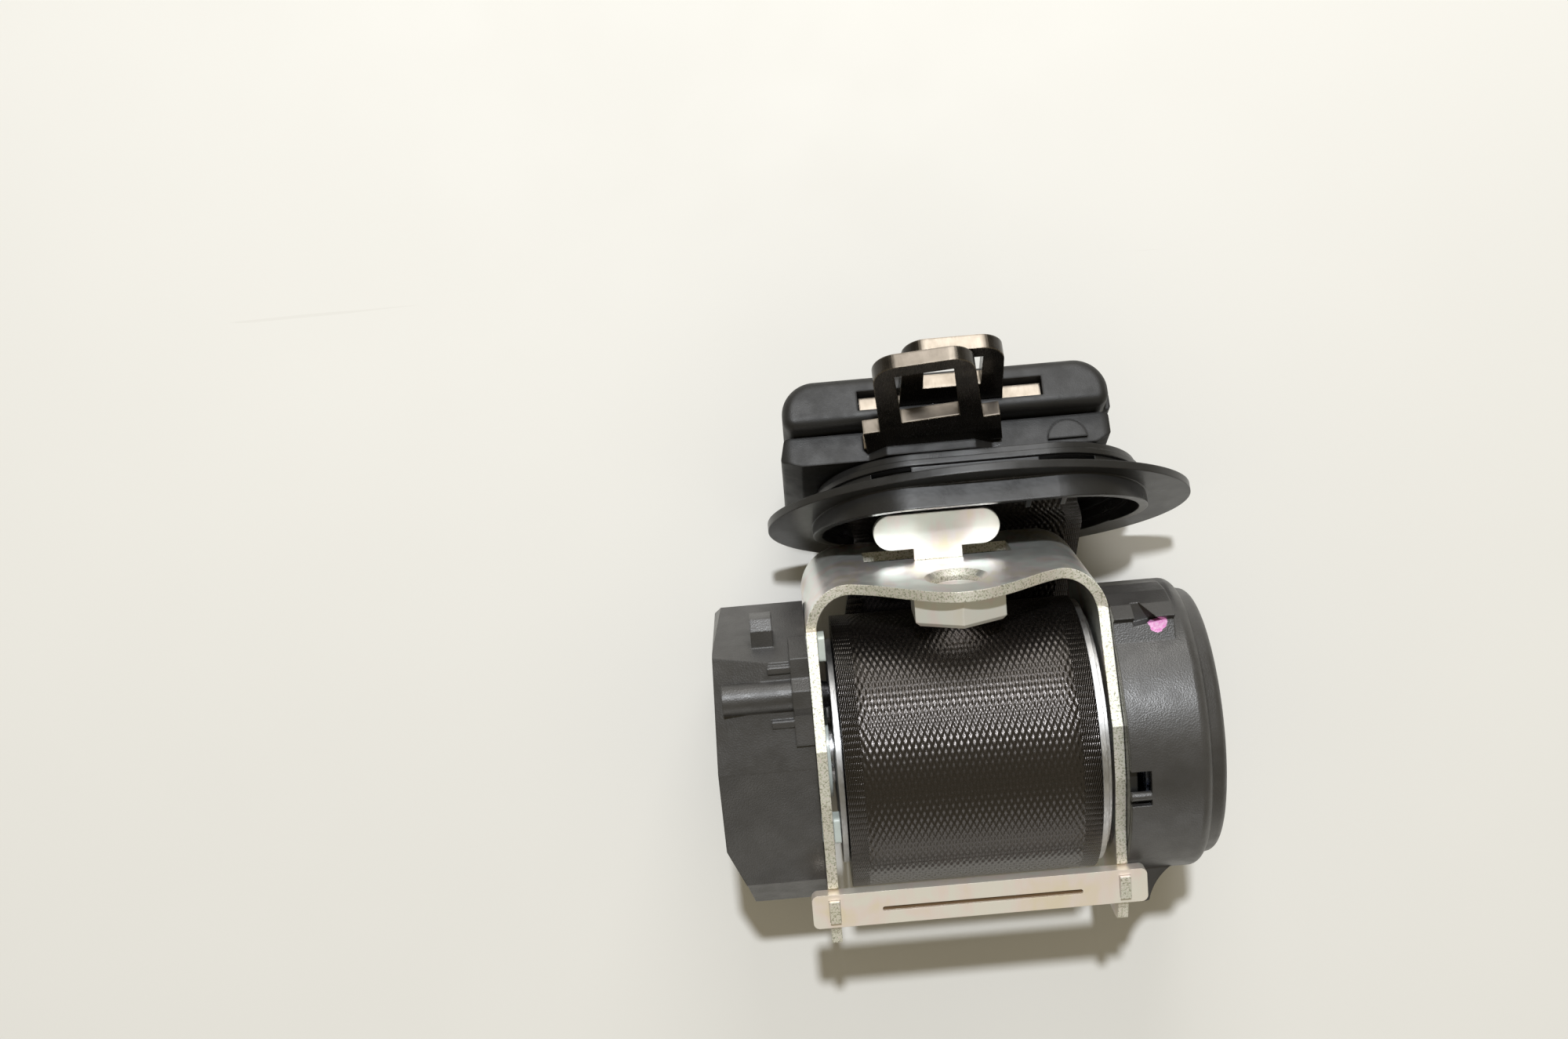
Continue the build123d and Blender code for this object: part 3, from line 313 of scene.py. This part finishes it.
def moulded(name, colour, low, high, grain, depth, radius=0.0004, dot=None, ior=1.7):
    """Moulded plastic with a fine grain, faint clouds, a little dust and rubbed edges.

    dot is the middle of a dab of pink paint.
    """
    f = Finish(name, ior=ior)
    here = f.place()
    cloud = f.noise(here, 0.09, 4.0, 0.6)
    base = f.ramp(cloud, (0.35, colour), (0.7, lighter(colour, 1.5)))
    worn = f.edges(radius, 0.05, 0.5)
    dust = f.fade(f.noise(here, 0.5, 5.0, 0.7), 0.58, 0.78, 0.0, 0.25)
    base = f.mix(f.sum("MULTIPLY", worn, 0.5), base, lighter(colour, 2.2))
    base = f.mix(dust, base, lighter(colour, 1.7))
    if dot:
        away = f.compare(f.node("TexCoord").outputs["Object"], dot, "DISTANCE")
        ragged = f.sum("MULTIPLY_ADD", f.noise(here, 0.9, 2.0), 1.1 * MM, away)
        paint = f.fade(ragged, 2.25 * MM, 2.4 * MM, 1.0, 0.0)
        pink = f.ramp(f.noise(here, 1.6), (0.35, (0.80, 0.22, 0.62)), (0.65, (0.90, 0.50, 0.80)))
        base = f.mix(paint, base, pink)
    f.set("Base Color", base)
    pits = f.cells(here, grain)
    fine = f.noise(here, grain * 1.7, 2.0)
    rough = f.fade(f.noise(here, 0.22, 4.0, 0.65), 0.3, 0.72, low, high)
    f.set("Roughness", f.sum("SUBTRACT", rough, f.sum("MULTIPLY", worn, 0.08)))
    height = f.sum("MULTIPLY_ADD", fine, 0.6, pits)
    f.set("Normal", f.bump(height, depth, 0.6, f.rounded(radius)))
    return f.material


def webbing_weave(name, settings):
    """Black webbing: small crowns where pairs of yarns meet, and finer yarns at the selvedges."""
    f = Finish(name, ior=1.85, specular_tint=(1.0, 0.93, 0.9))
    millimetres = f.place((1 / MM, 1 / MM, 1.0), of="UV")
    flat = f.node("SeparateXYZ", [("Vector", millimetres)])
    across, along = flat.outputs["X"], flat.outputs["Y"]
    yarn, row = settings.yarn_pitch / MM, settings.row_pitch / MM
    border_from = settings.width / MM / 2 - SELVEDGE
    edge = f.fade(f.sum("ABSOLUTE", across), border_from, border_from + 0.3)
    # Pairs of yarns meet in a crown, and the crowns of one row stand between those of the next
    wander = f.sum("MULTIPLY", f.noise(millimetres, 0.5, 2.0), 0.22)
    turn = f.sum("MULTIPLY", f.sum("ADD", along, wander), math.pi / row)
    pair = f.sum("COSINE", f.sum("MULTIPLY", across, math.pi / yarn))
    crown = f.sum("MULTIPLY_ADD", f.sum("MULTIPLY", pair, f.sum("COSINE", turn)), 0.5, 0.5)
    yarn_round = f.sum("ABSOLUTE", f.sum("SINE", f.sum("MULTIPLY", across, math.pi / yarn)))
    float_round = f.sum("ABSOLUTE", f.sum("SINE", turn))
    body = f.sum("MULTIPLY", crown, f.sum("MULTIPLY_ADD", yarn_round, 0.25, 0.75))
    # Selvedge: narrow yarns that lean one way
    slant = f.sum("ADD", f.sum("MULTIPLY", across, 2.4), f.sum("MULTIPLY", along, 0.7))
    fine_yarn = f.sum("ABSOLUTE", f.sum("SINE", f.sum("MULTIPLY", slant, math.pi)))
    border = f.sum("MULTIPLY", fine_yarn, f.sum("POWER", f.sum("MAXIMUM", float_round, 0.001), 0.5))
    weave = f.node("Mix", [("Factor", edge), ("A", body), ("B", border)]).outputs["Result"]
    fibre = f.noise(f.place((16000.0, 2600.0, 1.0), of="UV"), 1.0, 2.0, 0.7)
    height = f.sum("MULTIPLY_ADD", fibre, 0.12, weave)
    # Painted shade: the hollows of the weave are coloured darker than its crowns
    weave_painted_shade = f.ramp(
        weave,
        (0.0, (0.001, 0.001, 0.001)),
        (0.55, (0.002, 0.0018, 0.0018)),
        (1.0, (0.008, 0.0066, 0.006)),
    )
    # Painted glints: scattered pale brown specks in the colour stand in for fibres catching the light
    glint = f.fade(f.noise(f.place((5200.0, 3000.0, 1.0), of="UV"), 1.0, 1.0), 0.5, 0.72)
    f.set("Base Color", f.mix(f.sum("MULTIPLY", glint, 0.3), weave_painted_shade, (0.050, 0.038, 0.032)))
    f.set("Roughness", f.fade(fibre, 0.3, 0.7, 0.2, 0.32))
    f.set("Normal", f.bump(height, settings.weave_depth, 1.0))
    return f.material


def pale_floor(name, colour):
    """Smooth pale table top with a few fine scratches."""
    f = Finish(name, ior=1.45)
    here = f.place()
    cloud = f.noise(here, 0.006, 3.0)
    base = f.ramp(cloud, (0.3, tuple(colour)), (0.7, lighter(colour, 1.03)))
    line = f.noise(f.place((0.02, 0.5, 0.5), (0.0, 0.0, 0.5)), 0.6, 2.0, 0.5)
    scratch = f.fade(line, 0.745, 0.76, 0.0, 0.18)
    f.set("Base Color", f.mix(scratch, base, (0.62, 0.60, 0.55)))
    f.set("Roughness", f.fade(f.noise(here, 0.02, 3.0), 0.3, 0.7, 0.5, 0.6))
    return f.material


def assign(material, *names):
    """Give CAD nodes this material."""
    for name in names:
        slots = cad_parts[name].data.materials
        slots.clear()
        slots.append(material)


def new_piece(name, bm, material, smooth=True):
    """A mesh object from a bmesh, with its material."""
    mesh = bpy.data.meshes.new(name)
    bm.to_mesh(mesh)
    bm.free()
    mesh.materials.append(material)
    if smooth:
        mesh.shade_smooth()
    piece = bpy.data.objects.new(name, mesh)
    bpy.context.scene.collection.objects.link(piece)
    return piece


def strip(stations, width, cuts):
    """A band of that width that follows stations, each (point, run): a bmesh with UV in metres."""
    bm = bmesh.new()
    uv = bm.loops.layers.uv.new("UVMap")
    first, start = stations[0]
    row = [bm.verts.new(first + Vector(((i / cuts - 0.5) * width, 0, 0))) for i in range(cuts + 1)]
    edges = [bm.edges.new(pair) for pair in zip(row, row[1:])]
    at = {v: (v.co.x - first.x, start) for v in row}
    for point, run in stations[1:]:
        grown = bmesh.ops.extrude_edge_only(bm, edges=edges)["geom"]
        edges = [g for g in grown if isinstance(g, bmesh.types.BMEdge)]
        row = [g for g in grown if isinstance(g, bmesh.types.BMVert)]
        bmesh.ops.translate(bm, verts=row, vec=point - first)
        first = point
        for v in row:
            at[v] = (v.co.x - point.x, run)
        edges = [e for e in edges if all(v in row for v in e.verts)]
    for face in bm.faces:
        for loop in face.loops:
            loop[uv].uv = at[loop.vert]
    return bm


def smooth_line(points):
    """Points of a smooth curve that the given control points pull into shape."""
    curve = bpy.data.curves.new("route", "CURVE")
    curve.dimensions = "3D"
    curve.resolution_u = 8
    spline = curve.splines.new("NURBS")
    spline.points.add(len(points) - 1)
    for knot, point in zip(spline.points, points):
        knot.co = (*point, 1.0)
    spline.order_u = 3
    spline.use_endpoint_u = True
    holder = bpy.data.objects.new("route", curve)
    bpy.context.scene.collection.objects.link(holder)
    bpy.context.view_layer.update()
    mesh = bpy.data.meshes.new_from_object(holder)
    line = [v.co.copy() for v in mesh.vertices]
    bpy.data.objects.remove(holder)
    bpy.data.curves.remove(curve)
    bpy.data.meshes.remove(mesh)
    return line


def with_runs(points):
    """Each point with its distance along the line."""
    run, stations = 0.0, []
    for before, point in zip([points[0]] + points, points):
        run += (point - before).length
        stations.append((point, run))
    return stations


def thicken(piece, thickness):
    """Give a band its thickness, evenly to both sides."""
    wall = piece.modifiers.new("Thickness", "SOLIDIFY")
    wall.thickness = thickness
    wall.offset = 0.0


def fold_line(box, x, thickness):
    """Points of the end of the webbing, folded back on itself behind the rear grip."""
    low, high = box
    z = (low.z + high.z) / 2
    up = thickness * 0.5
    back = high.y - thickness * 0.5
    fold = [
        (back - 5.4 * MM, z),
        (back - 4.6 * MM, z - up),
        (back - 0.6 * MM, z - up),
        (back, z - up * 0.6),
        (back, z + up * 0.6),
        (back - 0.6 * MM, z + up),
        (back - 4.2 * MM, z + up),
    ]
    return smooth_line([Vector((x, y, h)) for y, h in fold])


def between(stations, start, stop):
    """The stations whose distance back (y) first passes start, up to where it passes stop."""
    kept = []
    inside = stations[0][0].y >= start
    for (a, run_a), (b, run_b) in zip([stations[0]] + stations, stations):
        for cut, opens in ((start, True), (stop, False)):
            if a.y < cut <= b.y and inside != opens:
                share = (cut - a.y) / (b.y - a.y)
                kept.append((a.lerp(b, share), run_a + share * (run_b - run_a)))
                inside = opens
                if not opens:
                    return kept
        if inside:
            kept.append((b, run_b))
    return kept


# Settings
class SEATBELT_PG_webbing(bpy.types.PropertyGroup):
    width: FloatProperty(
        name="Width",
        description="Webbing width",
        default=0.047,
        unit="LENGTH",
        precision=4,
    )
    thickness: FloatProperty(
        name="Thickness",
        description="Webbing thickness",
        default=0.0011,
        unit="LENGTH",
        precision=5,
    )
    yarn_pitch: FloatProperty(
        name="Yarn pitch",
        description="Distance between warp yarns",
        default=0.0006,
        unit="LENGTH",
        precision=5,
    )
    row_pitch: FloatProperty(
        name="Row pitch",
        description="Distance between rows of crowns",
        default=0.00128,
        unit="LENGTH",
        precision=5,
    )
    weave_depth: FloatProperty(
        name="Weave depth",
        description="Height of the crowns",
        default=0.00019,
        unit="LENGTH",
        precision=5,
    )
    hub_radius: FloatProperty(
        name="Hub radius",
        description="Radius that the first turn lies on",
        default=0.009,
        unit="LENGTH",
        precision=4,
    )


class SEATBELT_PG_finish(bpy.types.PropertyGroup):
    black: FloatVectorProperty(
        name="Black plastic",
        description="Colour of the covers, and dimmed of the grips",
        subtype="COLOR",
        default=(0.036, 0.0345, 0.0335),
        min=0.0,
        max=1.0,
    )
    smooth_black: FloatVectorProperty(
        name="Smooth black",
        description="Colour of the bezel",
        subtype="COLOR",
        default=(0.013, 0.0128, 0.0128),
        min=0.0,
        max=1.0,
    )
    natural: FloatVectorProperty(
        name="Natural plastic",
        description="Colour of the inner plastic pieces",
        subtype="COLOR",
        default=(0.52, 0.57, 0.53),
        min=0.0,
        max=1.0,
    )
    warmth: FloatProperty(
        name="Plate warmth",
        description="Share of golden tint on the tie bar",
        default=0.35,
        subtype="FACTOR",
        min=0.0,
        max=1.0,
    )


class SEATBELT_PG_stage(bpy.types.PropertyGroup):
    floor_colour: FloatVectorProperty(
        name="Floor",
        description="Colour of the table",
        subtype="COLOR",
        default=(0.80, 0.79, 0.755),
        min=0.0,
        max=1.0,
    )
    camera_height: FloatProperty(
        name="Camera height",
        description="Lens above the table",
        default=0.4,
        unit="LENGTH",
    )
    key_power: FloatProperty(
        name="Key power",
        description="Power of the small lamp high behind the part",
        default=50.0,
        unit="POWER",
    )
    back_power: FloatProperty(
        name="Back power",
        description="Power of the wide lamp low behind the part",
        default=1.1,
        unit="POWER",
    )
    front_power: FloatProperty(
        name="Front power",
        description="Power of the soft lamp low in front of the part",
        default=1.4,
        unit="POWER",
    )
    fill: FloatProperty(
        name="Fill",
        description="Strength of the light from all round",
        default=0.27,
    )


# Pieces
class SEATBELT_OT_roll(bpy.types.Operator):
    """Webbing wound on the spool in one long spiral"""

    bl_idname = "seatbelt.roll"
    bl_label = "Webbing roll"

    def execute(self, context):
        s = context.scene.seatbelt_webbing
        pitch = s.thickness
        first = s.hub_radius + pitch / 2
        last = ROLL_RADIUS - pitch / 2
        steps = int((last - first) / pitch * STEPS_PER_TURN)
        stations = []
        run = 0.0
        for i in range(steps + 1):
            # The outer end is tucked in under the roll, where the webbing leaves it
            tuck = max(0.0, (i - steps + TUCK_STEPS) / TUCK_STEPS)
            radius = first + pitch * (i / STEPS_PER_TURN - TUCK_DEPTH * tuck)
            angle = ROLL_END + (i - steps) * math.tau / STEPS_PER_TURN
            point = SPOOL + Vector((0.0, math.cos(angle), math.sin(angle))) * radius
            if stations:
                run += (point - stations[-1][0]).length
            stations.append((point, run))
        bm = strip(stations, s.width, 8)
        piece = new_piece("wound_webbing", bm, finishes["webbing"])
        thicken(piece, pitch * WOUND_SHARE)
        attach(piece, "spool")
        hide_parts("webbing_roll")
        return {"FINISHED"}


class SEATBELT_OT_route(bpy.types.Operator):
    """Webbing from the roll through the bezel and both grips"""

    bl_idname = "seatbelt.route"
    bl_label = "Webbing route"

    def execute(self, context):
        s = context.scene.seatbelt_webbing
        low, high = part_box("webbing_span")
        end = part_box("webbing_end")
        flat_z = high.z - s.thickness / 2
        # The webbing shifts sideways between the roll, the bezel and its folded end
        roll_x = low.x + s.width / 2
        bezel_x = high.x - s.width / 2
        end_x = end[0].x + s.width / 2
        route = [
            Vector((roll_x, -12.112 * MM, 1.50 * MM)),
            Vector((roll_x + 3.4 * MM, 3.0 * MM, 6.2 * MM)),
            Vector((bezel_x - 0.6 * MM, 17.391 * MM, 10.677 * MM)),
            Vector((bezel_x, 20.8 * MM, 12.5 * MM)),
            Vector((end_x + 0.8 * MM, 23.8 * MM, 18.0 * MM)),
            Vector((end_x, 26.4 * MM, flat_z)),
            Vector((end_x, 30.0 * MM, flat_z)),
            Vector((end_x, high.y, flat_z)),
        ]
        stations = with_runs(smooth_line(route) + fold_line(end, end_x, s.thickness))
        first_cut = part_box("bezel_liner")[0].y + LINER_TO_CUT
        second_cut = first_cut + CUT_TO_CUT
        start, stop = stations[0][0].y, high.y + 1.0
        parts = (
            ("webbing_to_bezel", "retractor", "trim", start, first_cut, 0.0, TRIM_FROM),
            ("webbing_to_front_grip", "trim", "front_latch", first_cut, second_cut, TRIM_UNTIL, FRONT_FROM),
            ("webbing_to_rear_grip", "front_latch", "rear_latch", second_cut, stop, second_cut, REAR_FROM),
        )
        for name, body_a, body_b, begin, cut, near, far in parts:
            own = between(stations, begin, cut)
            piece = new_piece(name, strip(own, s.width, 24), finishes["webbing"])
            thicken(piece, s.thickness * FREE_SHARE)
            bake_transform(piece)
            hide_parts("webbing_span", "webbing_end")
        return {"FINISHED"}


class SEATBELT_OT_finishes(bpy.types.Operator):
    """Materials on the pieces that keep their modelled shape"""

    bl_idname = "seatbelt.finishes"
    bl_label = "Finishes"

    def execute(self, context):
        s = context.scene.seatbelt_finish
        finishes["webbing"] = webbing_weave("Woven webbing", context.scene.seatbelt_webbing)
        bar_top = max(v.co.dot(UPWARD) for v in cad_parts["tie_bar"].data.vertices)
        black, smooth_black = tuple(s.black), tuple(s.smooth_black)
        grip_black = tuple(c * 0.3 for c in black)
        satin = (black, 0.34, 0.48, 3.2, 0.00004)
        golden = plated_steel("Golden zinc plate", s.warmth, 0.55, 0.0001, groove_under=bar_top)
        grip = moulded("Grip plastic", grip_black, 0.44, 0.58, 4.2, 0.00002, 0.0007, ior=1.5)
        smooth = moulded("Smooth black plastic", smooth_black, 0.27, 0.35, 1.2, 0.000006, ior=1.55)
        natural = moulded("Natural acetal", tuple(s.natural), 0.3, 0.42, 2.0, 0.00001)
        ground = ground_steel("Ground steel", (0.56, 0.56, 0.57))
        assign(plated_steel("Zinc plate", 0.0, cut_edges=0.8), "frame")
        assign(golden, "tie_bar")
        assign(plated_steel("Dull zinc plate", 0.12, 0.6), "weld_nut")
        assign(nickel_plate("Polished nickel with painted reflections"), "front_tongue", "rear_tongue")
        assign(ground, "torsion_bar", "ratchet_wheel", "lock_pawl", "sensor_ball")
        assign(ground_steel("Blackened steel", (0.06, 0.06, 0.065)), "pawl_pin")
        assign(ground_steel("Blued spring steel", (0.22, 0.25, 0.33)), "clock_spring")
        assign(ground_steel("Cast alloy", (0.62, 0.62, 0.62), 0.35, 0.55), "spool_core")
        assign(moulded("Satin black plastic", *satin), "lock_cover", "sensor_cup")
        assign(moulded("Satin black plastic with a paint dot", *satin, dot=PAINT_DOT), "spring_cover")
        assign(grip, "front_grip", "rear_grip")
        assign(smooth, "bezel", "bezel_liner", "spring_plate")
        assign(natural, "lock_carrier", "left_bush", "right_bush", "lock_disc")
        assign(natural, "sensor_lever", "spring_arbor")
        return {"FINISHED"}


class SEATBELT_OT_stage(bpy.types.Operator):
    """Table, lamps and camera"""

    bl_idname = "seatbelt.stage"
    bl_label = "Stage"

    def execute(self, context):
        s = context.scene.seatbelt_stage
        bm = bmesh.new()
        bmesh.ops.create_grid(bm, x_segments=2, y_segments=2, size=3.0)
        floor = new_piece("table_top", bm, pale_floor("Table top", s.floor_colour), smooth=False)

        lens = bpy.data.cameras.new("view")
        lens.lens = 43.2
        lens.sensor_width = 36.0
        lens.clip_start = 0.01
        view = bpy.data.objects.new("view", lens)
        view.location = (-0.0324, 0.0256, s.camera_height)
        view.rotation_euler = (0.0, 0.0, math.radians(-5.0))
        context.scene.collection.objects.link(view)
        context.scene.camera = view

        for name, place, size, power, colour in (
            ("key", (-0.03, 1.1, 2.45), 0.15, s.key_power, (0.93, 0.96, 1.0)),
            ("back", (0.05, 0.5, 0.32), 0.3, s.back_power, (1.0, 0.99, 0.97)),
            ("front", (0.1, -1.3, 0.35), 0.7, s.front_power, (0.96, 0.97, 1.0)),
        ):
            data = bpy.data.lights.new(name, "AREA")
            data.shape = "DISK"
            data.size = size
            data.energy = power
            data.color = colour
            lamp = bpy.data.objects.new(name, data)
            lamp.location = place
            aim = Vector((0.0, 0.0, 0.02)) - lamp.location
            lamp.rotation_euler = aim.to_track_quat("-Z", "Y").to_euler()
            context.scene.collection.objects.link(lamp)

        world = bpy.data.worlds.new("room")
        world.use_nodes = True
        sky = world.node_tree.nodes["Background"]
        sky.inputs["Color"].default_value = (1.0, 0.88, 0.62, 1.0)
        sky.inputs["Strength"].default_value = s.fill
        context.scene.world = world
        context.scene.view_settings.view_transform = "Standard"
        return {"FINISHED"}


class SEATBELT_PT_panel(bpy.types.Panel):
    """Sizes, colours and the steps that make the scene"""

    bl_idname = "SEATBELT_PT_panel"
    bl_label = "Seat Belt"
    bl_space_type = "VIEW_3D"
    bl_region_type = "UI"
    bl_category = "Seat Belt"

    def draw(self, context):
        for group in GROUPS:
            settings = getattr(context.scene, group)
            box = self.layout.box()
            for key in settings.bl_rna.properties.keys():
                if key not in ("rna_type", "name"):
                    box.prop(settings, key)
        for step in STEPS:
            self.layout.operator(step.bl_idname)


GROUPS = {
    "seatbelt_webbing": SEATBELT_PG_webbing,
    "seatbelt_finish": SEATBELT_PG_finish,
    "seatbelt_stage": SEATBELT_PG_stage,
}
STEPS = (
    SEATBELT_OT_finishes,
    SEATBELT_OT_roll,
    SEATBELT_OT_route,
    SEATBELT_OT_stage,
)


def register():
    for cls in (*GROUPS.values(), *STEPS, SEATBELT_PT_panel):
        bpy.utils.register_class(cls)
    for name, group in GROUPS.items():
        setattr(bpy.types.Scene, name, PointerProperty(type=group))


def unregister():
    for name in GROUPS:
        delattr(bpy.types.Scene, name)
    for cls in reversed((*GROUPS.values(), *STEPS, SEATBELT_PT_panel)):
        bpy.utils.unregister_class(cls)


def main():
    register()
    bpy.ops.seatbelt.finishes()
    bpy.ops.seatbelt.roll()
    bpy.ops.seatbelt.route()
    bpy.ops.seatbelt.stage()


if __name__ == "__main__":
    main()
